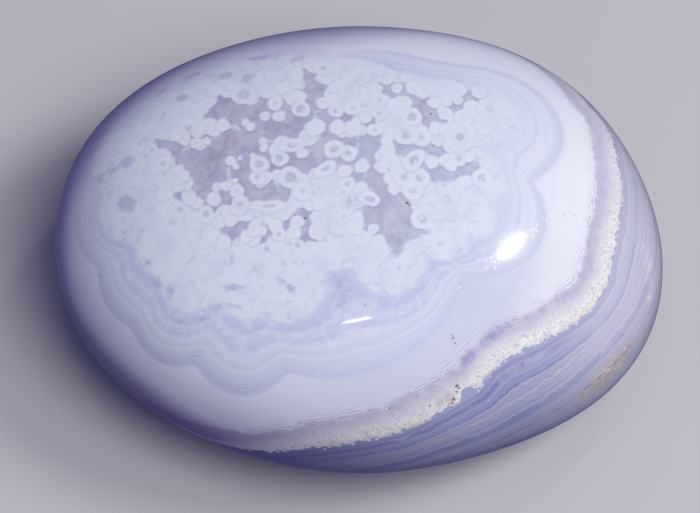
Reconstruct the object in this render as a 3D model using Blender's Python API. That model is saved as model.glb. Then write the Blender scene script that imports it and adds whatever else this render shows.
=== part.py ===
"""A tumbled and polished chalcedony pebble: one solid stone that grew and was worn as one piece.

Metres, +Z up. The stone lies on its broad, slightly flatter underside. +X runs along its length, and the
origin is below the middle of its bounding box, on the plane that the stone rests on.
"""

import math

import bmesh
import bpy
from mathutils import Vector

MM = 0.001

# The outline seen from above: distances from the stone's middle to its widest edge, evenly spaced
# counter-clockwise from +X. The stone is a plump oval, 30 mm long and 25 mm wide, fullest at the front right.
# The outline is kept to a few slow waves, so it follows these closely and has no lumps.
PLAN_RADII = [
    r * MM
    for r in (14.8, 14.1, 13.2, 12.2, 11.6, 11.8, 12.9, 14.2, 15.1, 14.8, 14.2, 13.4, 13.2, 13.4, 14.2, 15.3)
]
PLAN_WAVES = 6

# The section: a dome over a shallower bowl, both a little squarer than an ellipse.
DOME_HEIGHT = 6.5 * MM
BOWL_DEPTH = 6.0 * MM
SECTION_POWER = 2.3

# Tumbling leaves slow swells in the polish: (height, length from crest to crest, heading, crest position).
SWELLS = (
    (0.050 * MM, 15.0 * MM, math.radians(25), 0.6),
    (0.035 * MM, 10.0 * MM, math.radians(115), 2.1),
    (0.025 * MM, 8.0 * MM, math.radians(70), 4.0),
)

# The underside is worn flat where the stone rests, and the flat runs out smoothly into the bowl.
REST_WEAR = 0.35 * MM
REST_BLEND = 0.10 * MM

SPHERE_CUTS = 5
STONE_COLOUR = (0.56, 0.58, 0.70, 1.0)
STONE_ROUGHNESS = 0.18


def plan_radius(angle):
    """The outline's radius at this angle: a smooth curve of PLAN_WAVES waves that follows PLAN_RADII."""
    count = len(PLAN_RADII)
    radius = sum(PLAN_RADII) / count
    for wave in range(1, PLAN_WAVES + 1):
        steps = [wave * math.tau * i / count for i in range(count)]
        along = sum(r * math.cos(s) for r, s in zip(PLAN_RADII, steps)) * 2 / count
        across = sum(r * math.sin(s) for r, s in zip(PLAN_RADII, steps)) * 2 / count
        radius += along * math.cos(wave * angle) + across * math.sin(wave * angle)
    return radius


def swell(x, y, facing_up):
    """The height of the swells at this point of the plan. They fade out over the edge and the underside."""
    rise = 0.0
    for height, length, heading, crest in SWELLS:
        run = x * math.cos(heading) + y * math.sin(heading)
        rise += height * math.sin(math.tau * run / length + crest)
    return rise * max(facing_up, 0.0)


def worn_flat(z, lowest):
    """z, kept above the flat at height lowest, with a rounded run-out of REST_BLEND."""
    above = z - lowest
    if above >= REST_BLEND:
        return z
    if above <= -REST_BLEND:
        return lowest
    return lowest + (above + REST_BLEND) ** 2 / (4 * REST_BLEND)


def stone_point(direction):
    """Where the stone's surface lies for a direction on the unit sphere, measured from the stone's middle."""
    angle = math.atan2(direction.y, direction.x)
    out = math.hypot(direction.x, direction.y) ** (2 / SECTION_POWER)
    rise = abs(direction.z) ** (2 / SECTION_POWER)
    x = plan_radius(angle) * out * math.cos(angle)
    y = plan_radius(angle) * out * math.sin(angle)
    z = rise * (DOME_HEIGHT if direction.z > 0 else -BOWL_DEPTH)
    z += swell(x, y, direction.z)
    return Vector((x, y, worn_flat(z, REST_WEAR - BOWL_DEPTH)))


def centred_on_its_base(mesh):
    """Moves the mesh so that the origin is at the bottom centre of its bounding box."""
    for axis in range(3):
        values = [v.co[axis] for v in mesh.verts]
        shift = min(values) if axis == 2 else (min(values) + max(values)) / 2
        for v in mesh.verts:
            v.co[axis] -= shift


def polished_chalcedony():
    """The stone's material: pale lavender blue, glossy and non-metallic."""
    material = bpy.data.materials.new("chalcedony")
    material.use_nodes = True
    shader = material.node_tree.nodes["Principled BSDF"]
    shader.inputs["Base Color"].default_value = STONE_COLOUR
    shader.inputs["Roughness"].default_value = STONE_ROUGHNESS
    shader.inputs["Metallic"].default_value = 0.0
    return material


def make_stone():
    """The pebble, shaped from an even sphere of triangles and shaded smooth."""
    shaped = bmesh.new()
    bmesh.ops.create_icosphere(shaped, subdivisions=SPHERE_CUTS, radius=1.0)
    for vertex in shaped.verts:
        vertex.co = stone_point(vertex.co.normalized())
    centred_on_its_base(shaped)
    bmesh.ops.recalc_face_normals(shaped, faces=shaped.faces)
    mesh = bpy.data.meshes.new("stone")
    shaped.to_mesh(mesh)
    shaped.free()
    mesh.shade_smooth()
    mesh.materials.append(polished_chalcedony())
    stone = bpy.data.objects.new("stone", mesh)
    bpy.context.scene.collection.objects.link(stone)
    return stone


for old in list(bpy.data.objects):
    bpy.data.objects.remove(old)
make_stone()
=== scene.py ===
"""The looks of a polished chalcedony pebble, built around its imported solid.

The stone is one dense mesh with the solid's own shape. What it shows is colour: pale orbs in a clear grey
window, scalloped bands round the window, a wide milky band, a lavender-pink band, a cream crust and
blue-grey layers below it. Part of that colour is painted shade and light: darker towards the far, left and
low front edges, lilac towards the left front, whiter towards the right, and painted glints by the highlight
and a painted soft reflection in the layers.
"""

import math
from functools import partial, reduce

import bmesh
import bpy
import numpy as np
from mathutils import Matrix, Vector
from mathutils.bvhtree import BVHTree


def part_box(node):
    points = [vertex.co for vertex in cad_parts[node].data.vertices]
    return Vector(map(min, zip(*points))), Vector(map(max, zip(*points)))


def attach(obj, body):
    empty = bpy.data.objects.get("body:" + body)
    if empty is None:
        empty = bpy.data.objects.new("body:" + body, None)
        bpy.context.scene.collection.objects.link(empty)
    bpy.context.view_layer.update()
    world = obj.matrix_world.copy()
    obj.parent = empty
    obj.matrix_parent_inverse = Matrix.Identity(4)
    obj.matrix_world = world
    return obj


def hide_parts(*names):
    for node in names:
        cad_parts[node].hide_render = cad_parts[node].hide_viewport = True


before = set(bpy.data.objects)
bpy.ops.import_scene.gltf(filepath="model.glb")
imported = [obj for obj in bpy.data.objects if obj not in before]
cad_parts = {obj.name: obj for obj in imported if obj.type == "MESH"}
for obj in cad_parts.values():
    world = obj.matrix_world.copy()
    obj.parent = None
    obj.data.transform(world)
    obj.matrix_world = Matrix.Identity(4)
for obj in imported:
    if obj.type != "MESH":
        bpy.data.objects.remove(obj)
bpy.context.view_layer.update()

MM = 0.001

# The stone's shape, as the solid has it.
PLAN_RADII = np.array(
    (14.8, 14.1, 13.2, 12.2, 11.6, 11.8, 12.9, 14.2, 15.1, 14.8, 14.2, 13.4, 13.2, 13.4, 14.2, 15.3)
) * MM
PLAN_WAVES = 6
DOME_HEIGHT = 6.5 * MM
BOWL_DEPTH = 6.0 * MM
SECTION_POWER = 2.3
SWELLS = (
    (0.050 * MM, 15.0 * MM, math.radians(25), 0.6),
    (0.035 * MM, 10.0 * MM, math.radians(115), 2.1),
    (0.025 * MM, 8.0 * MM, math.radians(70), 4.0),
)
REST_WEAR = 0.35 * MM
REST_BLEND = 0.10 * MM

# The dense mesh: a sphere of six square grids, with its points drawn towards the side that holds the window.
# The cells in an oval of the plan that takes in the window are cut again, to hold the pattern's small rings.
GRID_CUTS = 66
FINE_CUTS = 2
GATHER_TOWARDS = Vector((0.0, -0.2, 1.0))
GATHER_STRENGTH = 1.9
WINDOW_MIDDLE = (-3.3 * MM, 2.6 * MM)
WINDOW_REACH = (10.6 * MM, 8.4 * MM)

# The camera, as the photograph was taken: angles in degrees, and pixels of its 700 x 513 frame.
FRAME_WIDTH = 700
FRAME_HEIGHT = 513
VIEW_AZIMUTH = 3.44
VIEW_ELEVATION = 55
VIEW_DISTANCE = 200 * MM
FOCAL_PIXELS = 4034
SENSOR_WIDTH = 36.0
MIDDLE_PIXEL = (360.0, 233.6)
PIXEL = VIEW_DISTANCE / FOCAL_PIXELS

# Orbs are measured in the photograph's axes with the depth along the view squeezed by this.
VIEW_SQUEEZE = 0.6

# The orbs' edges and the waves of their outlines, and for the strewn orbs their spacing, their radii, how
# often and how wide their middles are clear, and how much the sunk ones show.
ORB_SEED = 11
ORB_TRIES = 6000
ORB_SPACING = 9.0 * PIXEL
ORB_RADII = (5.5 * PIXEL, 10.0 * PIXEL)
ORB_CLEARANCE = 5.0 * PIXEL
ORB_SOFTNESS = 2.2 * PIXEL
OUTLINE_WIDTH = 2.0 * PIXEL
RIM_WIDTH = 2.2 * PIXEL
CORE_CHANCE = 0.12
CORE_SHARES = (0.25, 0.4)
SUNK_SPACING = 7.0 * PIXEL
SUNK_COVER = (0.03, 0.20)
ORB_WAVES = ((2, 0.06), (3, 0.05), (5, 0.03))

# The crust's outer edge: pixels of the photograph, and on the far side headings and polar angles in degrees.
# It is followed in steps of this many degrees and smoothed over this many steps to both sides.
CRUST_MARKS = (
    (590, 107), (605, 124), (616, 150), (620, 172), (622, 200), (620, 220), (616, 237), (612, 258),
    (609, 279), (596, 305), (568, 327), (533, 348), (512, 357), (490, 372), (478, 390), (462, 400),
    (436, 416), (403, 431), (373, 439), (357, 442), (329, 446), (292, 451), (253, 451), (231, 446),
    (209, 440), (192, 433),
)
CRUST_HIDDEN = (
    (50, 74), (70, 83), (90, 91), (110, 98), (130, 104), (150, 109), (170, 112), (-170, 112), (-150, 109),
    (-135, 106),
)
CRUST_STEP = 0.25
CRUST_SMOOTHING = 6

# Round lobes whose union bounds the window's pale mass, and wider ones for the outermost scalloped band
# round it: a pixel of the photograph and a radius in pixels. Their cusps are softened over this many pixels.
MASS_LOBES = (
    (140, 202, 43), (136, 148, 51), (160, 120, 56), (200, 100, 57), (243, 92, 58), (300, 94, 66),
    (345, 100, 62), (400, 114, 60), (450, 112, 47), (480, 112, 38), (466, 181, 39), (470, 215, 26),
    (445, 240, 21), (390, 262, 33), (330, 225, 47), (285, 283, 39), (250, 280, 39), (200, 272, 41),
    (176, 238, 41), (300, 180, 98), (200, 190, 63), (400, 170, 76),
)
BAND_LOBES = (
    (178, 312, 53), (243, 341, 53), (335, 250, 128), (478, 212, 70), (485, 120, 83), (140, 200, 78),
    (150, 268, 60), (150, 150, 85), (200, 130, 85), (280, 120, 105), (380, 120, 105), (440, 120, 90),
    (230, 230, 90),
)
LOBE_BLEND = 2.5

# Points are compared with the crust's edge this many at a time.
BATCH = 4000

# Clear grey pools in the window: a pixel and a radius in pixels.
POOLS = (
    (205, 172, 21), (190, 161, 13), (217, 155, 17), (176, 149, 7), (163, 144, 6), (230, 143, 14),
    (203, 190, 9), (224, 104, 10), (216, 113, 9), (238, 113, 12), (250, 119, 12), (256, 134, 14),
    (247, 147, 13), (243, 168, 12), (247, 184, 8), (272, 128, 13), (289, 128, 12), (258, 196, 7),
    (270, 195, 9), (284, 195, 9), (248, 196, 5), (307, 74, 7), (308, 86, 8), (318, 92, 8), (316, 102, 9),
    (326, 116, 8), (329, 122, 7), (311, 158, 11), (320, 150, 9), (304, 165, 8), (370, 140, 9),
    (369, 152, 9), (373, 165, 9), (378, 178, 10), (385, 190, 10), (385, 212, 13), (398, 208, 12),
    (400, 222, 13), (396, 236, 13), (400, 248, 8), (419, 236, 8), (376, 226, 9), (371, 213, 6),
    (388, 88, 7), (397, 91, 9), (407, 96, 8), (414, 105, 9), (425, 108, 11), (429, 118, 9), (440, 116, 8),
    (470, 97, 7), (404, 149, 6), (419, 148, 7), (431, 146, 7), (438, 150, 8), (434, 174, 7), (445, 173, 8),
    (457, 171, 8), (470, 169, 7), (428, 172, 6), (305, 215, 6), (303, 226, 6), (308, 238, 5), (226, 226, 5),
    (236, 229, 5), (242, 224, 4), (266, 240, 4), (178, 197, 4), (262, 155, 15), (275, 167, 13),
    (292, 160, 12), (302, 146, 12), (262, 110, 13), (285, 108, 13), (300, 118, 12), (340, 163, 9),
    (353, 176, 9), (352, 165, 9), (347, 141, 8), (330, 138, 8), (345, 118, 6), (372, 122, 6), (455, 108, 9),
    (392, 150, 9), (384, 166, 9), (416, 163, 10), (400, 196, 8), (208, 139, 8), (194, 138, 7),
    (222, 193, 11), (232, 203, 8), (212, 205, 7), (230, 232, 8), (246, 229, 7), (272, 231, 6),
    (290, 222, 8), (450, 122, 5), (462, 128, 4),
)

# Orbs that stand in the pools or show in the mass: a pixel and a radius in pixels. Rings add the radius of
# their clear middle.
DISCS = (
    (291, 100, 5.5), (323, 103, 7), (265, 116, 5.5), (279, 116, 6.5), (246, 123, 4.8), (250.5, 127, 4.8),
    (214, 131, 6.5), (223, 125, 7), (198, 133, 6), (200, 144.5, 6.5), (207, 141, 4.5), (185, 140, 6),
    (176, 136, 6), (231, 161, 5.5), (236, 166.5, 3.5), (263, 141, 4.5), (264, 148, 4.5), (253, 156, 3.5),
    (276, 150, 7), (302, 153, 6), (307, 138, 9), (316, 127, 9), (217, 187, 5), (226, 186, 5.5),
    (237, 191, 7.5), (214, 199, 7.5), (187, 183, 7), (190, 199, 6), (228, 211, 6.5), (220, 222, 6.5),
    (231, 221, 6), (284, 213, 8), (210, 236, 8), (224, 242, 7), (278, 176, 7), (266, 177, 6.5),
    (337, 127, 8), (353, 128, 8), (345, 171, 7), (362, 166, 7.5), (326, 80, 5), (333, 88, 5), (397, 88, 6),
    (400, 106, 12), (434, 103, 6.5), (445, 113, 8), (448, 102, 5), (458, 100, 5.5), (455, 121, 7),
    (464, 117, 9), (436, 128, 7), (414, 88, 8), (424, 90, 8), (388, 133, 6), (387, 141, 6), (380, 156, 6),
    (388, 149, 8), (390, 159, 8), (382, 167, 7), (396, 168, 7), (432, 163, 6), (451, 166, 6),
    (466, 181, 6.5), (392, 178, 8), (395, 188, 7), (405, 185, 8), (414, 247, 8.5), (373, 229, 5.5),
    (317, 231, 8.5), (320, 204, 6), (447, 130, 7), (366, 117, 6.5), (380, 128, 6), (441, 160, 3),
    (297, 222, 7), (294, 232, 7), (246, 236, 6), (254, 229, 7), (276, 226, 7), (373, 246, 7), (381, 252, 7),
    (408, 258, 7), (362, 238, 8), (366, 250, 7), (355, 226, 8), (178, 170, 6), (184, 176, 6), (178, 186, 6),
    (270, 92, 8), (283, 88, 7), (258, 87, 7), (296, 84, 6), (240, 158, 2.6), (427, 240, 7),
)
RINGS = (
    (244, 94.5, 12, 5.5), (301, 109, 9.3, 4.5), (275, 103.5, 8, 1.5), (349, 90, 9.5, 4), (365, 103, 9, 4.5),
    (379, 99.5, 8, 2), (379, 113, 8, 2), (353, 108, 8, 2.5), (336, 111, 7.5, 2.5), (421, 137, 10, 3.5),
    (412, 117, 10, 4.5), (460, 137, 15, 4), (490, 109, 13, 4), (406, 135, 11, 4), (257, 177, 8, 2),
    (259, 164, 9.5, 4), (279.5, 158, 9, 3.5), (291, 177.5, 12, 5.5), (348, 153, 9, 2.6),
    (334, 149, 10, 3.8), (303, 191, 9, 2.2), (206, 214, 8.5, 3), (279, 234, 6.5, 2), (240, 205, 9.5, 3),
    (404, 177, 9, 3.5), (420, 178, 10, 4), (413, 190, 10, 3.5), (422, 219, 11, 4.5), (431, 205, 10, 3.5),
    (441, 244, 10, 3), (482, 178, 10, 4), (374, 130, 7, 1.8), (324, 68, 9, 3), (244, 264, 8, 3),
    (262, 266, 7, 2.5), (399, 268, 9, 2), (369, 264, 9, 2), (393, 287, 8, 2), (196, 143, 6, 1.5),
    (163, 164, 8, 3), (347, 184, 8, 2.5), (354, 199.5, 10, 6), (355.5, 199.5, 5.2, 2.6),
)

# Orbs cut lengthwise: a pixel, half their length and width, their tilt in degrees and their clear share.
SLITS = (
    (292, 145, 12, 8, 10, 0.35), (326, 168.5, 12, 7, 38, 0.33), (414, 160, 14, 9, 62, 0.42),
    (370, 199, 10, 7, -20, 0.5), (438, 215, 7, 4, 10, 0.4), (458, 207, 9, 6, 5, 0.3),
    (270, 206, 16, 6, 4, 0.3),
)

# Lavender spots and veils in the pale mass: a pixel, half their length and width in pixels, their tilt in
# degrees and their strength.
VEILS = (
    (226, 76, 8, 5, 20, 0.9), (248, 78, 8, 5, 35, 0.9), (298, 59, 10, 5, 22, 0.9), (288, 73, 5, 8, 0, 0.7),
    (182, 98, 7, 5, 20, 0.9), (203, 105, 6, 3, -30, 0.7), (164, 116, 9, 4, 50, 0.5),
    (127, 162, 9, 7, 20, 0.9), (112, 170, 12, 6, 30, 0.6), (100, 180, 12, 7, -20, 0.6),
    (147, 140, 8, 5, 0, 0.7), (259, 58, 16, 4, 5, 0.7), (194, 75, 16, 5, 28, 0.7),
    (163, 91, 12, 5, 35, 0.6), (123, 236, 14, 5, -25, 0.5), (127, 204, 10, 9, 0, 0.9),
    (172, 222, 7, 7, 0, 0.5), (170, 292, 5, 9, -15, 0.7), (213, 309, 12, 6, 10, 0.6),
    (233, 306, 10, 5, -10, 0.6), (232, 287, 13, 3.5, 5, 0.9), (290, 288, 9, 4, -50, 0.9),
    (282, 281, 5, 4, 30, 0.8), (164, 261, 4, 2.5, -30, 0.8), (231, 256, 5, 12, 10, 0.6),
    (255, 262, 6, 5, 0, 0.5), (341, 292, 13, 22, 0, 0.6), (300, 262, 12, 4, 10, 0.4),
    (350, 202, 6, 8, 0, 0.5), (318, 216, 6, 6, 0, 0.3), (460, 212, 9, 3, 5, 0.3),
    (497, 145, 14, 3, 25, 0.4), (308, 246, 12, 4, 0, 0.5), (222, 200, 10, 8, 0, 0.5),
    (270, 214, 6, 5, 0, 0.4), (320, 187, 5, 5, 0, 0.3), (122, 245, 12, 4, -35, 0.6),
    (147, 262, 9, 5, -60, 0.6), (156, 283, 12, 4, -40, 0.7), (176, 322, 22, 3, -8, 0.6),
    (205, 318, 10, 3, 30, 0.6),
)

# The layers outside the crust lie in a plane like the crust's, which they follow closely only near its edge.
CRUST_NORMAL = (-0.3135, 0.1077, 0.9434)
CRUST_RISE = 1.0 * MM
LAYER_BLEND = 1.5 * MM

# Small patches and specks: a pixel and a radius in pixels. Fine lines show in the lined ones, the violet ones
# lie in the pink band, the tinge and the bite in the crust, and the ochre and beige ones in the layers, the
# beige ones as a painted soft reflection.
LINED_MARKS = ((150, 338, 42), (188, 362, 42), (238, 388, 40))
VIOLET_MARKS = ((497, 327, 7), (488, 333, 9), (507, 323, 5), (480, 338, 5), (465, 360, 8), (471, 355, 5))
TINGE_MARKS = ((447, 397, 7), (440, 402, 6))
BITE_MARKS = ((468, 393, 8),)
OCHRE_MARKS = ((584, 394, 11), (595, 385, 15), (606, 375, 17), (617, 363, 15), (627, 349, 10))
BEIGE_GLINT_MARKS = ((646, 250, 7), (649, 265, 9), (650, 281, 9), (649, 297, 8))
DARK_SPECKS = (
    (452, 335, 1.0), (453, 338, 1.4), (455, 343, 1.1), (457, 386, 2.3), (459, 388, 1.5), (457, 392, 1.5),
    (454, 399, 2.2), (452, 403, 2.2), (449, 404, 1.3), (430, 406, 1.4), (431, 114, 1.5), (407, 203, 1.8),
    (409, 205, 1.2), (305, 218, 1.4), (564, 214, 0.7), (574, 215, 0.7), (433, 146, 1.0), (102, 277, 1.0),
    (99, 275, 0.8), (365, 304.5, 0.8), (389.5, 408.5, 1.0), (393, 416, 0.8),
)
WARM_SPECKS = (
    (235.6, 180, 3.3), (262, 132, 1.1), (300, 95, 1.2), (253, 140, 1.0), (278, 134, 1.2), (304, 229, 1.0),
    (318, 375, 1.1), (434.7, 389, 0.9),
)

# The polish is a little softer round the highlight, and worn spots at the highlight's two ends sparkle.
SOFT_MARKS = ((513, 245, 38),)
WORN_MARKS = (
    (464, 282, 6), (473, 276, 7), (482, 270, 8), (491, 264, 7), (531, 233, 6), (538, 227, 7), (545, 221, 7),
)

# Painted glints along the scratches by the highlight and the dark seam by the ochre stain: both ends and the
# width, in pixels. A stroke fades out at this share of its length to both sides of its middle.
SCRATCH_GLINTS = (
    ((479, 273), (491, 265), 0.9), ((455, 290), (463, 285.5), 1.0), ((486, 257), (493, 264), 0.7),
    ((489, 255.5), (495, 262), 0.7), ((482, 259), (488, 265.5), 0.6), ((531, 233), (537, 227.5), 1.3),
    ((545.5, 221), (548, 218), 1.1), ((550, 216.5), (552, 214.5), 1.5), ((558, 217.5), (559.5, 216.5), 1.5),
)
SEAM_STROKES = (
    ((580, 392), (594, 381.5), 2.0), ((592, 383), (610, 368), 2.2), ((608, 369.5), (622, 356), 2.2),
    ((620, 358), (632, 342), 1.8),
)
STROKE_REACH = 0.6

# Colours of the stone, linear.
MASS_PALE = (0.79, 0.88, 0.94)
MASS_DEEP = (0.65, 0.73, 0.85)
POOL_GREY = (0.385, 0.37, 0.51)
POOL_WARM = (0.40, 0.38, 0.47)
ORB_PALE = (0.82, 0.88, 0.935)
ORB_BRIGHT = (0.86, 0.90, 0.94)
ORB_SHADE = (0.35, 0.37, 0.56)
VEIL = (0.50, 0.53, 0.72)
BAND_PALE = (0.77, 0.815, 0.92)
BAND_LAVENDER = (0.68, 0.725, 0.865)
BAND_BLUE = (0.59, 0.64, 0.85)
BAND_LINE = (0.54, 0.56, 0.75)
BAND_MIST = (0.58, 0.645, 0.85)
BAND_WHITE = (0.84, 0.89, 0.94)
MILKY = (0.85, 0.89, 0.96)
MILKY_VEIL = (0.77, 0.79, 0.91)
# Painted shade in the milky band: darker to the low front, lilac to the left front.
MILKY_SHADE = (0.69, 0.73, 0.82)
MILKY_LILAC_SHADE = (0.85, 0.88, 1.00)
# Whiter to the right: partly the band's own tint, partly painted light.
MILKY_LIT_WHITE = (0.95, 0.965, 0.99)
MILKY_BLUE = (0.79, 0.85, 0.95)
PINK = (0.52, 0.505, 0.64)
PINK_PALE = (0.675, 0.665, 0.76)
VIOLET = (0.35, 0.34, 0.59)
LINE_SHADE = (0.46, 0.45, 0.61)
LINE_LIGHT = (0.90, 0.90, 0.95)
CREAM = (0.88, 0.85, 0.74)
CREAM_WHITE = (0.93, 0.93, 0.90)
GRAIN_SHADE = (0.48, 0.50, 0.60)
LAYER_BLUE = (0.34, 0.37, 0.59)
LAYER_GREY = (0.46, 0.47, 0.62)
LAYER_PALE = (0.71, 0.70, 0.75)
LAYER_VIOLET = (0.21, 0.22, 0.48)
LAYER_EDGE = (0.38, 0.43, 0.66)
# Deep violet for the low front of the layers, partly their own colour and partly painted shade.
LAYER_DARK_AND_SHADE = (0.15, 0.14, 0.36)
SEAM_SHADE = (0.30, 0.27, 0.38)
OCHRE = (0.56, 0.50, 0.44)
# Pale ochre for the stain's grains and for a painted soft reflection on the layers.
PALE_OCHRE_AND_GLINT = (0.95, 0.90, 0.81)
SPECK_DARK = (0.11, 0.08, 0.06)
SPECK_WARM = (1.00, 0.92, 0.76)
# White for painted glints.
GLINT_WHITE = (1.00, 1.00, 1.00)
# Painted shade for the stone's far, left and low front edges.
PAINTED_SHADE_LAVENDER = (0.31, 0.275, 0.54)
PAINTED_SHADE_BLUE = (0.36, 0.345, 0.68)
EDGE_SHADE = (0.25, 0.19, 0.42)

# The scalloped bands from their outer edge at 0 to the window at 1, and how far apart in millimetres the fine
# lines along their outer edge are.
BAND_STOPS = (
    (0.00, BAND_LAVENDER), (0.24, BAND_LAVENDER), (0.32, BAND_PALE), (0.38, BAND_LAVENDER),
    (0.46, BAND_PALE), (0.66, BAND_PALE), (0.76, BAND_LAVENDER), (0.88, BAND_LAVENDER), (0.97, BAND_PALE),
    (1.00, MASS_PALE),
)
RIM_LINE_SPACING = 0.17

# The fine crinkled lines: how deep inside the crust's edge they lie and how far apart they are, in
# millimetres.
LINE_DEPTH = 1.62
LINE_SPACING = 0.16

# The polish: how strongly it refracts, how rough it is, what the soft patch and the crust add to that, and
# how high the relief of the grit is.
REFRACTION = 1.54
POLISH_ROUGHNESS = 0.05
SOFT_ROUGHNESS = 0.045
CRUST_ROUGHNESS = 0.09
RELIEF = 0.012 * MM

# Directions along which the colours change: to the right, away from the camera, and to the far left.
ACROSS = (1.0, 0.0, 0.0)
AWAY = (0.0, 1.0, 0.0)
FAR_LEFT = (-0.6, 0.8, 0.0)

# How far each texture's seed moves it, and where a Mix node keeps its colour sockets.
SEED_MOVE = (17.3, 7.7, 11.9)
STRIPE_MOVE = 13.7
MIX_UNDER, MIX_OVER, MIX_RESULT = 6, 7, 2

# The studio: a pale floor, an even bluish surround, and lamps. A lamp's weight is how bright it makes white.
FLOOR_HALF = 1.0
FLOOR_COLOUR = (0.60, 0.60, 0.61)
FLOOR_ROUGHNESS = 0.9
SURROUND_COLOUR = (0.48, 0.45, 1.0)
SURROUND_STRENGTH = 0.175
DAYLIGHT = (1.0, 0.985, 0.97)
SKYLIGHT = (0.80, 0.85, 1.0)
STREAK_LIGHT = (1.0, 0.99, 0.97)

# Long lamps whose reflections run from one pixel of the photograph to another: both pixels, how slim they are
# and their weight.
STREAK_DISTANCE = 0.30
STREAKS = (
    ("key", (501, 265), (526.5, 239), 3.1, 0.043),
    ("glint", (342, 327.5), (369, 320.5), 9.0, 0.013),
)

# Lamps that don't show in the polish: azimuth and elevation in degrees, distance and size in metres, weight
# and colour.
SOFT_LAMPS = (
    ("broad", 0, 46, 0.30, 0.10, 0.36, DAYLIGHT),
    ("soft", -48, 56, 0.40, 0.24, 0.57, DAYLIGHT),
    ("fill", 150, 8, 0.30, 0.20, 0.08, SKYLIGHT),
)


# The stone's shape and its dense mesh.
def plan_radius(angle):
    """The outline's radius at these angles, in slow waves that follow PLAN_RADII."""
    steps = np.arange(len(PLAN_RADII)) * math.tau / len(PLAN_RADII)
    radius = np.full_like(angle, PLAN_RADII.mean())
    for wave in range(1, PLAN_WAVES + 1):
        cosine = 2 * np.mean(PLAN_RADII * np.cos(wave * steps))
        sine = 2 * np.mean(PLAN_RADII * np.sin(wave * steps))
        radius += cosine * np.cos(wave * angle) + sine * np.sin(wave * angle)
    return radius


def swell(x, y, facing_up):
    """The slow swells that tumbling left in the polish. They fade out over the edge and the underside."""
    total = np.zeros_like(x)
    for height, length, bearing, crest in SWELLS:
        run = x * math.cos(bearing) + y * math.sin(bearing)
        total += height * np.sin(math.tau * run / length + crest)
    return total * np.maximum(facing_up, 0.0)


def worn_flat(z, lowest):
    """z, kept above the flat at height lowest, with a rounded run-out of REST_BLEND."""
    above = z - lowest
    blended = lowest + (above + REST_BLEND) ** 2 / (4 * REST_BLEND)
    return np.where(above >= REST_BLEND, z, np.where(above <= -REST_BLEND, lowest, blended))


def stone_points(directions):
    """Where the stone's surface lies for directions on the unit sphere, measured from the stone's middle."""
    x, y, z = directions.T
    angle = np.arctan2(y, x)
    out = np.hypot(x, y) ** (2 / SECTION_POWER)
    lift = np.abs(z) ** (2 / SECTION_POWER)
    out_x = plan_radius(angle) * out * np.cos(angle)
    out_y = plan_radius(angle) * out * np.sin(angle)
    height = lift * np.where(z > 0, DOME_HEIGHT, -BOWL_DEPTH)
    height += swell(out_x, out_y, z)
    return np.column_stack((out_x, out_y, worn_flat(height, REST_WEAR - BOWL_DEPTH)))


def gathered(directions, towards, strength):
    """The directions, drawn towards one side, where points then lie closer. Small cells keep their shape."""
    axis = np.array(towards.normalized())
    cosine = np.clip(directions @ axis, -1.0, 1.0)
    side = directions - np.outer(cosine, axis)
    side /= np.maximum(np.linalg.norm(side, axis=1), 1e-12)[:, None]
    half = np.tan(np.arccos(cosine) / 2) / strength
    return (np.outer(1 - half**2, axis) + (2 * half)[:, None] * side) / (1 + half**2)[:, None]


def mesh_points(mesh):
    """The mesh's points as an array, one row each."""
    values = np.empty(len(mesh.vertices) * 3)
    mesh.vertices.foreach_get("co", values)
    return values.reshape(-1, 3)


def on_sphere(places):
    """Directions on the unit sphere for places on the cube's surface, drawn towards the window."""
    directions = np.tan(places * math.pi / 4)
    directions /= np.linalg.norm(directions, axis=1)[:, None]
    return gathered(directions, GATHER_TOWARDS, GATHER_STRENGTH)


def by_the_window(points):
    """Which of these points lie in the oval of the plan that takes in the window."""
    share_x = (points[:, 0] - WINDOW_MIDDLE[0]) / WINDOW_REACH[0]
    share_y = (points[:, 1] - WINDOW_MIDDLE[1]) / WINDOW_REACH[1]
    return (share_x**2 + share_y**2 < 1) & (points[:, 2] > 0)


def make_stone_mesh():
    """The dense stone, with its box where the solid's box is. Returns the mesh and the stone's middle."""
    grid = bmesh.new()
    bmesh.ops.create_cube(grid, size=2.0)
    bmesh.ops.subdivide_edges(grid, edges=grid.edges[:], cuts=GRID_CUTS - 1, use_grid_fill=True)
    centres = np.array([face.calc_center_median() for face in grid.faces])
    fine = set(np.flatnonzero(by_the_window(stone_points(on_sphere(centres)))))
    grid.faces.index_update()
    cut = [edge for edge in grid.edges if any(face.index in fine for face in edge.link_faces)]
    bmesh.ops.subdivide_edges(grid, edges=cut, cuts=FINE_CUTS, use_grid_fill=True)
    mesh = bpy.data.meshes.new("stone_dense")
    grid.to_mesh(mesh)
    grid.free()
    points = stone_points(on_sphere(mesh_points(mesh)))
    low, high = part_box("stone")
    place = (np.array(low) + np.array(high)) / 2 - (points.min(0) + points.max(0)) / 2
    place[2] = low.z - points[:, 2].min()
    mesh.vertices.foreach_set("co", (points + place).ravel())
    mesh.shade_smooth()
    mesh.update()
    return mesh, Vector(place)


def heading(azimuth, elevation):
    """The direction with this azimuth, counter-clockwise from +X, and this elevation, in degrees."""
    turn, lift = math.radians(azimuth), math.radians(elevation)
    return Vector((math.cos(turn) * math.cos(lift), math.sin(turn) * math.cos(lift), math.sin(lift)))


# The stone, and the camera's axes and place, from which the marks' pixels are cast onto the stone.
mesh, middle = make_stone_mesh()
tree = BVHTree.FromPolygons([v.co for v in mesh.vertices], [p.vertices for p in mesh.polygons])

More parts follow.
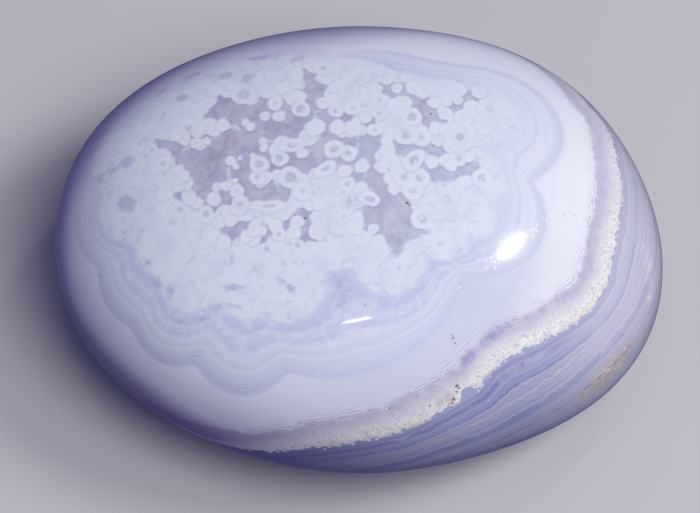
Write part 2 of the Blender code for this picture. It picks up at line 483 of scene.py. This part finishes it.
back = heading(VIEW_AZIMUTH - 90, VIEW_ELEVATION)
right = heading(VIEW_AZIMUTH, 0)
up = back.cross(right)
aside = (MIDDLE_PIXEL[0] - FRAME_WIDTH / 2) * PIXEL
above = (FRAME_HEIGHT / 2 - MIDDLE_PIXEL[1]) * PIXEL
eye = middle + back * VIEW_DISTANCE - right * aside - up * above


def ray(x, y):
    """The direction from the camera through a pixel of the photograph."""
    across = (x - FRAME_WIDTH / 2) / FOCAL_PIXELS
    upward = (FRAME_HEIGHT / 2 - y) / FOCAL_PIXELS
    return (right * across + up * upward - back).normalized()


def on_stone(x, y):
    """The point of the stone that a pixel of the photograph shows, and the surface's direction there."""
    place, facing, _, _ = tree.ray_cast(eye, ray(x, y))
    if place is None:
        raise ValueError(f"the pixel {x}, {y} lies beside the stone")
    return place, facing


# The pattern's fields at the mesh's points.
def depth_in_lobes(points, lobes):
    """How deep in a union of round lobes each point lies, in metres. It is below zero outside the lobes.

    The lobes run into each other with cusps that are softened over LOBE_BLEND pixels. The limits only keep
    the sums within what a float holds.
    """
    total = np.zeros(len(points))
    for x, y, radius in lobes:
        centre = np.array(on_stone(x, y)[0])
        depth = radius - np.linalg.norm(points - centre, axis=1) / PIXEL
        total += np.exp(np.clip(depth / LOBE_BLEND, -200, 200))
    return np.log(np.maximum(total, 1e-80)) * LOBE_BLEND * PIXEL


def headings_and_polars(points):
    """Each point's heading and its polar angle, which is 0 on top and 90 at the widest edge, in degrees."""
    local = points - np.array(middle)
    angle = np.arctan2(local[:, 1], local[:, 0])
    out = np.hypot(local[:, 0], local[:, 1]) / plan_radius(angle)
    lift = np.abs(local[:, 2]) / np.where(local[:, 2] > 0, DOME_HEIGHT, BOWL_DEPTH)
    half = SECTION_POWER / 2
    polar = np.arctan2(out**half, np.copysign(lift**half, local[:, 2]))
    return np.degrees(angle), np.degrees(polar)


def crust_line():
    """The crust's outer edge all round the stone: headings and polar angles, one row for each step."""
    headings, polars = headings_and_polars(np.array([on_stone(x, y)[0] for x, y in CRUST_MARKS]))
    headings = np.concatenate((headings, [mark[0] for mark in CRUST_HIDDEN]))
    polars = np.concatenate((polars, [mark[1] for mark in CRUST_HIDDEN]))
    steps = np.arange(-180.0, 180.0, CRUST_STEP)
    line = np.interp(steps, *zip(*sorted(zip(headings, polars))), period=360)
    window = np.hanning(2 * CRUST_SMOOTHING + 1)
    wrapped = np.concatenate((line[-CRUST_SMOOTHING:], line, line[:CRUST_SMOOTHING]))
    return steps, np.convolve(wrapped, window / window.sum(), mode="valid")


def points_at(headings, polars):
    """The stone's points at these headings and polar angles."""
    angle, polar = np.radians(headings), np.radians(polars)
    out = np.sin(polar)
    directions = np.column_stack((out * np.cos(angle), out * np.sin(angle), np.cos(polar)))
    return stone_points(directions) + np.array(middle)


def depth_in_crust(points):
    """How far each point lies from the crust's outer edge, in metres. It is below zero outside the crust."""
    steps, line = crust_line()
    edge = points_at(steps, line)
    nearest = np.full(len(points), np.inf)
    for start in range(0, len(points), BATCH):
        rows = points[start : start + BATCH]
        gaps = rows[:, None, :] - edge[None, :, :]
        nearest[start : start + BATCH] = np.sqrt((gaps**2).sum(2)).min(1)
    headings, polars = headings_and_polars(points)
    inside = polars < np.interp(headings, steps, line, period=360)
    return np.where(inside, nearest, -nearest)


def flattened(points):
    """The points as the photograph's axes see them, with the depth along the view shortened.

    An orb that is round in this space looks nearly round from the camera and from above.
    """
    local = points - np.array(middle)
    return local @ np.array((right, up, back * VIEW_SQUEEZE)).T


def placed(x, y):
    """The place in flattened space of the stone's point that a pixel shows."""
    return flattened(np.array(on_stone(x, y)[0]))


def oval_share(places, centre, long, wide, tilt):
    """Each place's squared distance to an oval's middle, as a share of the oval's squared radius."""
    gap = places - centre
    forth = gap[:, 0] * math.cos(tilt) + gap[:, 1] * math.sin(tilt)
    sideways = gap[:, 1] * math.cos(tilt) - gap[:, 0] * math.sin(tilt)
    return (forth / long) ** 2 + (sideways**2 + gap[:, 2] ** 2) / wide**2


def smooth(value):
    """Eases a number from 0 to 1 and holds it there outside that range."""
    held = np.clip(value, 0.0, 1.0)
    return held * held * (3 - 2 * held)


def marked_orbs():
    """The orbs named above: their middles, half lengths and widths, tilts, clear shares and cover."""
    discs = [(x, y, radius, radius, 0.0, 0.0) for x, y, radius in DISCS]
    rings = [(x, y, radius, radius, 0.0, core / radius) for x, y, radius, core in RINGS]
    return [
        (placed(x, y), long * PIXEL, wide * PIXEL, math.radians(tilt), core, 1.0)
        for x, y, long, wide, tilt, core in (*discs, *rings, *SLITS)
    ]


def scattered(places, allowed, spacing, random):
    """Middles strewn over the allowed places, no two of them closer than the spacing."""
    candidates = places[allowed]
    centres = []
    for candidate in candidates[random.permutation(len(candidates))[:ORB_TRIES]]:
        if not centres or np.min(np.sum((np.array(centres) - candidate) ** 2, axis=1)) > spacing**2:
            centres.append(candidate)
    return centres


def loose_orbs(places, allowed, random):
    """Orbs strewn over the mass, a few of them with clear middles."""
    orbs = []
    for centre in scattered(places, allowed, ORB_SPACING, random):
        radius = random.uniform(*ORB_RADII)
        core = random.uniform(*CORE_SHARES) if random.random() < CORE_CHANCE else 0.0
        orbs.append((centre, radius, radius, 0.0, core, 1.0))
    return orbs


def sunk_orbs(places, allowed, random):
    """Orbs that lie below the surface of the pools and show faintly."""
    centres = scattered(places, allowed, SUNK_SPACING, random)
    radii = random.uniform(*ORB_RADII, len(centres))
    covers = random.uniform(*SUNK_COVER, len(centres))
    sunk = zip(centres, radii, covers)
    return [(centre, radius, radius, 0.0, 0.0, cover) for centre, radius, cover in sunk]


def orb_reach(places, centre, long, wide, tilt, random):
    """How far each place lies from an orb's middle, as a share of the orb's slightly wavy radius."""
    gap = places - centre
    angle = np.arctan2(gap[:, 1], gap[:, 0])
    waves = sum(size * np.sin(count * angle + random.uniform(0, math.tau)) for count, size in ORB_WAVES)
    return np.sqrt(oval_share(places, centre, long, wide, tilt)) * (1 + waves)


def orb_fields(places, orbs, random):
    """What each place shows of the orbs, which are laid over each other with the last on top.

    orb is how far they hide the stone below, rim their bright border, outline the thin shade round each of
    them, hollow their clear middles and tone a number of each orb's own.
    """
    fields = {name: np.zeros(len(places)) for name in ("orb", "rim", "outline", "hollow", "tone")}
    for centre, long, wide, tilt, core, cover in orbs:
        close = np.flatnonzero(np.abs(places[:, 0] - centre[0]) < 1.5 * long)
        reach = orb_reach(places[close], centre, long, wide, tilt, random)
        near = close[reach < 1.0 + 2 * OUTLINE_WIDTH / wide]
        reach = reach[reach < 1.0 + 2 * OUTLINE_WIDTH / wide]
        out = (reach - 1.0) * wide
        body = smooth(0.5 - out / ORB_SOFTNESS) * cover
        rim = smooth(1.0 - np.abs(out + RIM_WIDTH) / RIM_WIDTH)
        # The outline is partly each orb's dark border and partly painted shadow, which is stronger below the
        # orb.
        below = np.clip(0.6 - 0.4 * (places[near, 1] - centre[1]) / wide, 0.2, 1.0)
        outline = smooth(1.0 - np.abs(out - 0.5 * OUTLINE_WIDTH) / OUTLINE_WIDTH) * (1 - body) * below * cover
        hollow = np.zeros(len(near))
        if core:
            hollow = smooth(0.5 + (core - reach) * wide / ORB_SOFTNESS)
            hollow -= 0.5 * smooth(0.5 + (core * 0.3 - reach) * wide / ORB_SOFTNESS)
        own = {"orb": 1.0, "rim": rim, "outline": 0.0, "hollow": hollow, "tone": random.random()}
        outline *= 1 - 0.5 * fields["orb"][near]
        for name, value in own.items():
            fields[name][near] = fields[name][near] * (1 - body) + value * body
        fields["outline"][near] = np.maximum(fields["outline"][near], outline)
    return fields


def veil_strength(places):
    """How much the lavender veils cover each place."""
    strength = np.zeros(len(places))
    for x, y, long, wide, tilt, peak in VEILS:
        share = oval_share(places, placed(x, y), long * PIXEL, wide * PIXEL, math.radians(tilt))
        strength = np.maximum(strength, peak * np.exp(-share))
    return strength


def pool_depth(places):
    """How deep in the clear pools each place lies, in metres. It is below zero outside them."""
    depth = np.full(len(places), -np.inf)
    for x, y, radius in POOLS:
        depth = np.maximum(depth, radius * PIXEL - np.linalg.norm(places - placed(x, y), axis=1))
    return depth


def store_fields(mesh):
    """Keeps every field of the pattern at the mesh's points, for the material. Depths are in millimetres."""
    points = mesh_points(mesh)
    places = flattened(points)
    mass = depth_in_lobes(points, MASS_LOBES)
    bands = depth_in_lobes(points, BAND_LOBES)
    pools = pool_depth(places)
    random = np.random.default_rng(ORB_SEED)
    sunk = sunk_orbs(places, pools > 0, random)
    loose = loose_orbs(places, (mass > ORB_CLEARANCE) & (pools < -ORB_CLEARANCE), random)
    fields = orb_fields(places, sunk + loose + marked_orbs(), random)
    crust = depth_in_crust(points)
    below = (np.array(middle) - points) @ np.array(CRUST_NORMAL) + CRUST_RISE
    blend = np.clip(-crust / LAYER_BLEND, 0.0, 1.0)
    fields["mass"] = mass / MM
    fields["bands"] = bands / MM
    fields["scallop"] = np.clip(bands / np.maximum(bands - mass, 1e-6), -1.0, 1.0)
    fields["pool"] = pools / MM
    fields["crust"] = crust / MM
    fields["layer"] = ((1 - blend) * -crust + blend * below) / MM
    fields["veil"] = veil_strength(places)
    for name, values in fields.items():
        mesh.attributes.new(name, "FLOAT", "POINT").data.foreach_set("value", values.astype(np.float32))


# The camera and the studio.
def linked(name, data):
    """A new object that holds this data, in the scene."""
    made = bpy.data.objects.new(name, data)
    bpy.context.scene.collection.objects.link(made)
    return made


def make_camera():
    """The camera at the photograph's viewing angle."""
    data = bpy.data.cameras.new("camera")
    data.sensor_width = SENSOR_WIDTH
    data.lens = FOCAL_PIXELS / FRAME_WIDTH * SENSOR_WIDTH
    data.clip_start = 1 * MM
    camera = linked("camera", data)
    camera.matrix_world = Matrix.Translation(eye) @ Matrix((right, up, back)).transposed().to_4x4()
    bpy.context.scene.camera = camera


def make_floor():
    """A plain pale floor, far wider than the view. It neither lights the stone nor shows in its polish."""
    data = bpy.data.meshes.new("floor")
    corners = [(x * FLOOR_HALF, y * FLOOR_HALF, 0) for x, y in ((-1, -1), (1, -1), (1, 1), (-1, 1))]
    data.from_pydata(corners, [], [(0, 1, 2, 3)])
    floor = linked("floor", data)
    material = bpy.data.materials.new("floor")
    material.use_nodes = True
    shader = material.node_tree.nodes["Principled BSDF"]
    shader.inputs["Base Color"].default_value = (*FLOOR_COLOUR, 1.0)
    shader.inputs["Roughness"].default_value = FLOOR_ROUGHNESS
    data.materials.append(material)
    floor.visible_diffuse = False
    floor.visible_glossy = False


def make_light(name, direction, distance, size, weight, colour):
    """A soft round lamp that looks at the stone's middle."""
    data = bpy.data.lights.new(name, "AREA")
    data.shape = "DISK"
    data.size = size
    data.energy = weight * (math.pi * distance) ** 2
    data.color = colour
    lamp = linked(name, data)
    lamp.location = middle + direction.normalized() * distance
    lamp.rotation_mode = "QUATERNION"
    lamp.rotation_quaternion = direction.to_track_quat("Z", "Y")
    return lamp


def make_streak(name, start, end, slimness, weight):
    """A long thin lamp whose reflection runs from one pixel of the photograph to another."""
    first, last = mirrored(*start), mirrored(*end)
    direction = (first + last).normalized()
    spread = last - first
    size = spread.length * STREAK_DISTANCE
    lamp = make_light(name, direction, STREAK_DISTANCE, size, weight, STREAK_LIGHT)
    lamp.data.shape = "ELLIPSE"
    lamp.data.size_y = lamp.data.size / slimness
    side = (spread - direction * spread.dot(direction)).normalized()
    lamp.rotation_quaternion = Matrix((side, direction.cross(side), direction)).transposed().to_quaternion()


def mirrored(x, y):
    """The direction that a lamp has to be in for its reflection to be seen at a pixel of the photograph."""
    place, facing = on_stone(x, y)
    look = (place - eye).normalized()
    return look.reflect(facing)


def make_surround():
    """The even light from all round."""
    world = bpy.data.worlds.new("studio")
    bpy.context.scene.world = world
    world.use_nodes = True
    background = world.node_tree.nodes["Background"]
    background.inputs["Color"].default_value = (*SURROUND_COLOUR, 1.0)
    background.inputs["Strength"].default_value = SURROUND_STRENGTH


# The material's numbers and colours, which its nodes work out.
class Signal:
    """A number that the material works out at each point. Arithmetic on it adds Math nodes."""

    def __init__(self, socket):
        self.socket = socket

    def __add__(self, other):
        return calculated("ADD", self, other)

    __radd__ = __add__

    def __sub__(self, other):
        return calculated("SUBTRACT", self, other)

    def __rsub__(self, other):
        return calculated("SUBTRACT", other, self)

    def __mul__(self, other):
        return calculated("MULTIPLY", self, other)

    def __truediv__(self, other):
        return calculated("DIVIDE", self, other)


def plug(value, socket):
    """Links a signal or a socket to a shader's socket, or sets the socket to a plain value."""
    if isinstance(value, Signal):
        links.new(value.socket, socket)
    elif isinstance(value, bpy.types.NodeSocket):
        links.new(value, socket)
    elif isinstance(value, tuple) and len(value) == 3 and len(socket.default_value) == 4:
        socket.default_value = (*value, 1.0)
    else:
        socket.default_value = value


def new_node(kind, inputs, **settings):
    """A shader node of this kind, with these settings and with values or signals for these inputs."""
    node = nodes.new(f"ShaderNode{kind}")
    for name, setting in settings.items():
        setattr(node, name, setting)
    for place, value in inputs.items():
        plug(value, node.inputs[place])
    return node


def calculated(operation, *values):
    """The result of one Math node."""
    return Signal(new_node("Math", dict(enumerate(values)), operation=operation).outputs[0])


def rise(value, low, high):
    """Goes smoothly from 0 at low to 1 at high."""
    inputs = {"Value": value, "From Min": low, "From Max": high}
    return Signal(new_node("MapRange", inputs, interpolation_type="SMOOTHSTEP").outputs["Result"])


def fall(value, low, high):
    """Goes smoothly from 1 at low to 0 at high."""
    return 1.0 - rise(value, low, high)


def hump(value, centre, reach):
    """1 where the value is at the centre, falling smoothly to 0 at this reach on both sides."""
    return fall(calculated("ABSOLUTE", value - centre), 0.0, reach)


def field(name):
    """A number stored at the mesh's points."""
    node = new_node("Attribute", {}, attribute_type="GEOMETRY", attribute_name=name)
    return Signal(node.outputs["Fac"])


def moved(seed):
    """The object's coordinates in millimetres, moved so that each seed's texture has a place of its own."""
    inputs = {0: coordinates, 1: [1 / MM] * 3, 2: [seed * move for move in SEED_MOVE]}
    return new_node("VectorMath", inputs, operation="MULTIPLY_ADD").outputs["Vector"]


def noise(size, seed, detail=2.0, roughness=0.5, distortion=0.0):
    """Cloudy noise with features of this size in millimetres, from about -1 to 1."""
    inputs = {"Vector": moved(seed), "Scale": 1.0 / size, "Detail": detail}
    inputs.update({"Roughness": roughness, "Distortion": distortion})
    return (Signal(new_node("TexNoise", inputs).outputs["Fac"]) - 0.5) * 2.0


def stripes(value, size, seed, detail=2.0, roughness=0.5):
    """Noise that changes only along one signal, from about -1 to 1: irregular stripes."""
    inputs = {"W": value + seed * STRIPE_MOVE, "Scale": 1.0 / size, "Detail": detail, "Roughness": roughness}
    node = new_node("TexNoise", inputs, noise_dimensions="1D")
    return (Signal(node.outputs["Fac"]) - 0.5) * 2.0


def cells(size, seed):
    """How far each point lies from the nearest of many scattered middles, in cell sizes."""
    node = new_node("TexVoronoi", {"Vector": moved(seed), "Scale": 1.0 / size})
    return Signal(node.outputs["Distance"])


def layered(colour, *coats):
    """A colour with coats laid over it in turn, each a pair of a colour and how far it covers."""
    for coat, cover in coats:
        inputs = {"Factor": cover, MIX_UNDER: colour, MIX_OVER: coat}
        colour = new_node("Mix", inputs, data_type="RGBA").outputs[MIX_RESULT]
    return colour


def ramp(value, stops):
    """A colour read from a row of stops: pairs of a position from 0 to 1 and a colour."""
    node = new_node("ValToRGB", {"Fac": value})
    elements = node.color_ramp.elements
    elements.remove(elements[1])
    for number, (position, colour) in enumerate(stops):
        element = elements[0] if number == 0 else elements.new(position)
        element.position = position
        element.color = (*colour, 1.0)
    return node.outputs["Color"]


def along(direction):
    """How far each point lies along a direction, in millimetres times the direction's length."""
    inputs = {0: coordinates, 1: Vector(direction) / MM}
    return Signal(new_node("VectorMath", inputs, operation="DOT_PRODUCT").outputs["Value"])


def nearest_mark(marks):
    """How far each point lies from the nearest of a few small marks, as a share of that mark's radius."""
    shares = []
    for x, y, radius in marks:
        gap = new_node("VectorMath", {0: coordinates, 1: on_stone(x, y)[0]}, operation="DISTANCE")
        shares.append(Signal(gap.outputs["Value"]) / (radius * PIXEL))
    return reduce(partial(calculated, "MINIMUM"), shares)


def stroke(start, end, width):
    """1 along a straight line between two pixels of the photograph, falling to 0 this width beside it."""
    first, facing = on_stone(*start)
    run = on_stone(*end)[0] - first
    ahead = run.normalized()
    side = ahead.cross(facing).normalized()
    beside = hump(along(side), side.dot(first) / MM, width * PIXEL / MM)
    return beside * hump(along(ahead), ahead.dot(first + run / 2) / MM, run.length * STROKE_REACH / MM)


def nearest_stroke(strokes):
    """The strongest of a few strokes."""
    return reduce(partial(calculated, "MAXIMUM"), [stroke(*row) for row in strokes])


# The stone's colours, from the window outwards.
def near_pools():
    """1 in the clear pools and close by, falling to 0 further off."""
    return rise(field("pool"), -1.4, -0.1)


def window_colours(ragged, fluffy, cloudy):
    """The window: pale orbs packed into a cloudy mass, and clear grey pools between them."""
    pool = field("pool")
    orb = field("orb")
    near_pool = near_pools()
    outline = field("outline") + ragged * 0.20 * field("outline")
    hollow = field("hollow") * rise(ragged + fluffy, -0.6, 0.1)
    cloud = layered(
        MASS_PALE,
        (MASS_DEEP, rise(noise(1.1, 5, 3.0, 0.6, 0.2) + fluffy * 0.5, -0.10, 0.60)),
        (ORB_SHADE, rise(noise(0.42, 6, 3.0, 0.6, 0.3), 0.14, 0.46) * 0.30),
    )
    clear = layered(
        POOL_GREY,
        (POOL_WARM, rise(cloudy + fluffy * 0.4, -0.1, 0.4)),
        (MASS_DEEP, rise(noise(0.8, 3, 3.0), 0.0, 0.7) * 0.25),
        (MASS_DEEP, rise(along(ACROSS), -6.0, 4.0) * 0.33),
        (VEIL, fall(pool, 0.05, 0.50) * 0.50),
    )
    pale = layered(
        ORB_PALE,
        (MASS_DEEP, rise(field("tone") + fluffy * 0.5, 0.3, 1.1) * (0.60 - near_pool * 0.35)),
        (ORB_BRIGHT, field("rim") * (near_pool * 0.4 + 0.30)),
        (ORB_SHADE, outline * (near_pool * 0.20 + 0.32)),
        (POOL_GREY, hollow * (near_pool * 0.36 + 0.20)),
        (MASS_DEEP, rise(ragged + fluffy * 0.5, 0.05, 0.6) * 0.32),
    )
    return layered(
        cloud,
        (clear, rise(pool + fluffy * 0.24, -0.26, 0.02)),
        (ORB_SHADE, outline * (near_pool * 0.22 + 0.28) * (1.0 - orb)),
        (pale, orb * (near_pool * 0.42 + 0.55)),
    )


def veil_cover(ragged, fluffy):
    """How far torn lavender veils cover the window and its edge. In the pools they lie behind the orbs."""
    veil = field("veil")
    torn = veil + (fluffy * 0.45 + ragged * 0.40) * rise(veil, 0.02, 0.3)
    return rise(torn, 0.22, 0.66) * (1.0 - field("orb") * near_pools()) * 0.68


def band_colours(ragged, fluffy, cloudy):
    """The scalloped bands round the window: parallel lavender and pale stripes with fine lines."""
    inwards = field("scallop")
    scallop = inwards + cloudy * 0.04 + fluffy * 0.07 * rise(inwards, 0.55, 0.95) + ragged * 0.012
    depth = field("bands") + ragged * 0.02 + fluffy * 0.03
    inner = rise(inwards, 0.40, 0.62)
    towards_right = rise(along((0.9, 0.3, 0.0)), 3.0, 7.5)
    bluish = rise(fluffy + cloudy, -0.5, 0.5) * (0.45 - towards_right * 0.32)
    clumps = rise(noise(0.36, 10, 3.0, 0.6), 0.0, 0.30) * hump(scallop, 0.58, 0.36)
    thin = stripes(scallop, 0.13, 5, 2.0, 0.6)
    lined = fall(nearest_mark(LINED_MARKS), 0.5, 1.1)
    lines = calculated("SINE", depth * (math.tau / RIM_LINE_SPACING))
    return layered(
        ramp(scallop, BAND_STOPS),
        (BAND_MIST, inner * 0.55),
        (BAND_BLUE, hump(scallop, 0.84, 0.24) * bluish),
        (BAND_WHITE, towards_right * (0.65 - hump(scallop, 0.12, 0.20) * 0.50)),
        (BAND_PALE, rise(noise(0.8, 9, 4.0, 0.65, 0.5), 0.02, 0.30) * inner * 0.60),
        (BAND_WHITE, clumps * 0.60),
        (BAND_LINE, rise(thin, 0.02, 0.40) * (0.32 - inner * 0.12)),
        (BAND_PALE, fall(thin, -0.45, -0.05) * 0.5),
        (BAND_LINE, rise(lines, 0.0, 0.9) * hump(depth, 0.36, 0.40) * (lined * 0.60 + 0.04)),
        (MILKY_VEIL, rise(along(FAR_LEFT), 3.0, 9.0) * 0.45),
    )


def milky_colours(fluffy, cloudy):
    """The wide milky band, nearly even, with faint broad veils parallel to the crust."""
    veils = stripes(field("crust") + cloudy * 0.4, 0.9, 1, 2.0)
    # Painted shade darkens the low front and tints the left front lilac; painted light whitens the right.
    low_front_tone_and_shade = fall(along((-0.3, 1.0, 0.0)), -7.5, -3.5) * rise(along(ACROSS), -9.0, -2.0)
    return layered(
        MILKY,
        (MILKY_SHADE, low_front_tone_and_shade),
        (MILKY_LILAC_SHADE, rise(along((-0.8, -0.6, 0.0)), 4.0, 11.0) * 0.70),
        (MILKY_LIT_WHITE, rise(along((1.0, -0.15, 0.0)), 8.0, 10.5) * 0.55),
        (MILKY_VEIL, rise(veils, 0.0, 0.6) * 0.30),
        (MILKY_BLUE, rise(cloudy + fluffy * 0.7, -0.2, 0.7) * 0.35),
    )


def crust_colours(ragged, fluffy, cloudy):
    """From the crust inwards: cream grains, a mottled lavender-pink band, and fine crinkled lines."""
    depth = field("crust")
    crinkle = noise(0.30, 31, 3.0, 0.7)
    line_depth = depth + cloudy * 0.22 + crinkle * 0.15 + fluffy * 0.14
    far = rise(along(AWAY), -1.0, 5.0)
    # Painted shade at the low left front: the pink band turns violet and the cream crust fades.
    low_left_shade = fall(along(ACROSS), -7.0, -2.5) * fall(along(AWAY), -9.5, -6.0)
    violet_edge = hump(line_depth, 1.38, 0.42) * rise(cloudy + fluffy * 0.6, -0.3, 0.6)
    marked = fall(nearest_mark(VIOLET_MARKS) + ragged * 1.3 + fluffy * 1.1, 0.20, 1.50)
    waves = calculated("SINE", line_depth * (math.tau / LINE_SPACING))
    shown = hump(line_depth, LINE_DEPTH, 0.50) * rise(noise(0.9, 33, 1.0), -0.35, 0.25) * (1.0 - far * 0.65)
    fade = depth + cloudy * 0.22 + fluffy * 0.30 + ragged * 0.22 + far * 0.25 + low_left_shade * 0.55
    worms = calculated("ABSOLUTE", noise(0.21, 22, 2.0, 0.5, 1.5))
    cream = layered(
        CREAM_WHITE,
        (CREAM, rise(cloudy, -0.2, 0.4) * hump(depth, 0.10, 0.45) * 0.9),
        (GRAIN_SHADE, rise(worms, 0.08, 0.30) * fall(fade, 0.40, 1.20) * 0.72),
        (LAYER_EDGE, fall(depth, -0.05, 0.14) * 0.35),
        (OCHRE, fall(nearest_mark(TINGE_MARKS) + ragged * 0.6, 0.3, 1.3) * 0.60),
    )
    return layered(
        PINK,
        (PINK_PALE, rise(fluffy + crinkle * 0.6, -0.4, 0.5)),
        (MILKY_VEIL, far * 0.35),
        (VIOLET, low_left_shade * 0.45),
        (VIOLET, violet_edge * 0.30),
        (VIOLET, marked * 0.66),
        (milky_colours(fluffy, cloudy), rise(line_depth, 1.36, 1.72)),
        (LINE_SHADE, rise(waves, 0.1, 0.9) * shown * 0.72),
        (LINE_LIGHT, fall(waves, -1.0, -0.2) * shown * 0.45),
        (cream, fall(fade, 0.34, 1.25) * 0.96),
    )


def layer_colours(ragged, fluffy, cloudy):
    """Outside the crust: thin blue-grey and lavender layers, stacked below it down to the underside."""
    across = along(ACROSS)
    warped = field("layer") + noise(2.5, 23, 2.0) * 0.20 + fluffy * 0.16 + ragged * 0.12
    thin = stripes(warped, 0.26, 3, 3.0, 0.6)
    streak = rise(stripes(warped, 0.55, 4, 3.0, 0.6), 0.0, 0.35) * rise(cloudy + fluffy * 0.5, -0.4, 0.3)
    deep = hump(warped, 0.95, 0.42) * rise(noise(2.4, 26, 2.0) + ragged * 0.3, -0.40, 0.10)
    stain = nearest_mark(OCHRE_MARKS)
    stained = fall(stain + ragged * 0.4, 0.35, 1.30) * rise(thin + ragged * 0.3, -0.45, 0.0)
    grain = rise(noise(0.30, 27, 3.0) + thin * 0.7, -0.1, 0.5) * fall(stain, 0.4, 1.1)
    seam = nearest_stroke(SEAM_STROKES) + ragged * 0.3
    # A painted soft reflection in pale beige streaks along the layers.
    beige_glint = fall(nearest_mark(BEIGE_GLINT_MARKS) + ragged * 0.4, 0.2, 1.3) * rise(thin, -0.3, 0.2)
    # Partly the layers' own deeper violet, partly painted shade: darker towards the low front.
    low_front_tone_and_shade = fall(across, -5.0, 6.0) * fall(along(AWAY), -8.0, -3.0)
    return layered(
        LAYER_BLUE,
        (LAYER_GREY, rise(stripes(warped, 1.1, 2, 1.0), -0.35, 0.35)),
        (LAYER_PALE, rise(thin, 0.0, 0.5) * 0.5),
        (LAYER_PALE, rise(across, 8.0, 13.0) * 0.60),
        (LAYER_VIOLET, streak * (0.75 - rise(across, 8.0, 13.0) * 0.32)),
        (LAYER_VIOLET, deep * fall(across, 8.5, 11.5) * 0.85),
        (LAYER_VIOLET, rise(stripes(warped, 0.14, 6, 2.0), 0.10, 0.36) * 0.40),
        (LAYER_EDGE, fall(warped, 0.02, 0.50) * 0.5),
        (OCHRE, stained * 0.92),
        (PALE_OCHRE_AND_GLINT, grain * 0.70),
        (SEAM_SHADE, rise(seam, 0.2, 0.8) * 0.65),
        (PALE_OCHRE_AND_GLINT, beige_glint * 0.45),
        (LAYER_DARK_AND_SHADE, low_front_tone_and_shade * 0.75),
    )


def edge_shaded(colour):
    """Painted shade: deeper lavender along the stone's left, far and low front edges, weaker below them."""
    inside = rise(field("crust"), 0.6, 1.6)
    leftwards = along((0.45, -0.35, 1.0))
    left_edge_shade = fall(leftwards, 0.8, 3.4) * (rise(leftwards, -2.4, 0.2) * 0.8 + 0.2)
    backwards = along((0.25, -0.55, 1.0)) - hump(along(ACROSS), -2.0, 6.0) * 1.1
    back_edge_shade = fall(backwards, 1.8, 6.2) * (rise(backwards, -1.6, 1.2) * 0.85 + 0.15)
    downwards = along((0.5, 0.5, 1.0))
    low_edge_shade = fall(downwards, -4.2, -2.0) * (rise(downwards, -8.0, -4.5) * 0.7 + 0.3)
    return layered(
        colour,
        (PAINTED_SHADE_BLUE, left_edge_shade * inside * 0.72),
        (PAINTED_SHADE_LAVENDER, back_edge_shade * inside * 0.78),
        (EDGE_SHADE, low_edge_shade * rise(field("crust"), 0.1, 0.6) * 0.70),
    )


def stone_colours():
    """The stone's colours from the middle of the window to the layers on the underside."""
    ragged = noise(0.22, 1, 3.0, 0.6)
    fluffy = noise(0.65, 2, 3.0, 0.6)
    cloudy = noise(2.2, 4, 2.0)
    towards_right = rise(along((0.9, 0.4, 0.0)), 4.0, 8.0)
    edge_blur = rise(along(FAR_LEFT), 3.0, 9.0) * 0.35 + towards_right * 0.22 + 0.04
    in_bands = rise(field("bands") + ragged * 0.03, 0.0 - edge_blur, edge_blur)
    in_window = rise(field("mass") + fluffy * 0.32 + ragged * 0.14, -0.26, 0.15)
    inner = layered(
        crust_colours(ragged, fluffy, cloudy),
        (band_colours(ragged, fluffy, cloudy), in_bands),
        (window_colours(ragged, fluffy, cloudy), in_window),
        (VEIL, veil_cover(ragged, fluffy)),
    )
    edge = field("crust") + cloudy * 0.14 + fluffy * 0.18 + ragged * 0.26 + (0.45 - cells(0.30, 30)) * 0.40
    edge = edge - fall(nearest_mark(BITE_MARKS), 0.4, 1.3) * 0.7
    return layered(
        edge_shaded(inner),
        (layer_colours(ragged, fluffy, cloudy), fall(edge, -0.025, 0.025)),
        (SPECK_DARK, fall(nearest_mark(DARK_SPECKS) + ragged * 0.9, 0.4, 1.1) * 0.80),
        (SPECK_WARM, fall(nearest_mark(WARM_SPECKS), 0.5, 1.0) * 0.9),
        # Painted glints along the scratches by the highlight.
        (GLINT_WHITE, nearest_stroke(SCRATCH_GLINTS)),
    )


def make_material():
    """The polished stone's shader."""
    crust = field("crust")
    grit = noise(0.085, 35, 2.0)
    scratches = noise(0.15, 36, 1.0)
    worn = fall(nearest_mark(WORN_MARKS), 0.5, 1.4)
    soft = fall(nearest_mark(SOFT_MARKS), 0.6, 1.1) * (1.0 - worn)
    dull = fall(crust, 0.4, 1.2) * rise(crust, -0.1, 0.1)
    height = grit * dull * 0.6 + scratches * worn * 0.55
    bump = new_node("Bump", {"Strength": 1.0, "Distance": RELIEF, "Height": height})
    roughness = POLISH_ROUGHNESS + soft * SOFT_ROUGHNESS + dull * (grit * 0.05 + CRUST_ROUGHNESS)
    shader = nodes["Principled BSDF"]
    plug(stone_colours(), shader.inputs["Base Color"])
    plug(roughness, shader.inputs["Roughness"])
    plug(REFRACTION, shader.inputs["IOR"])
    plug(bump.outputs["Normal"], shader.inputs["Normal"])


# The dressed stone, the studio and what the frame is told.
store_fields(mesh)
stone = linked("polished_stone", mesh)
material = bpy.data.materials.new("chalcedony")
material.use_nodes = True
nodes = material.node_tree.nodes
links = material.node_tree.links
coordinates = nodes.new("ShaderNodeTexCoord").outputs["Object"]
make_material()
mesh.materials.append(material)

make_camera()
make_floor()
for streak in STREAKS:
    make_streak(*streak)
for name, azimuth, elevation, distance, size, weight, colour in SOFT_LAMPS:
    make_light(name, heading(azimuth, elevation), distance, size, weight, colour).visible_glossy = False
make_surround()
bpy.context.scene.view_settings.view_transform = "Standard"

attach(stone, "root")
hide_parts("stone")
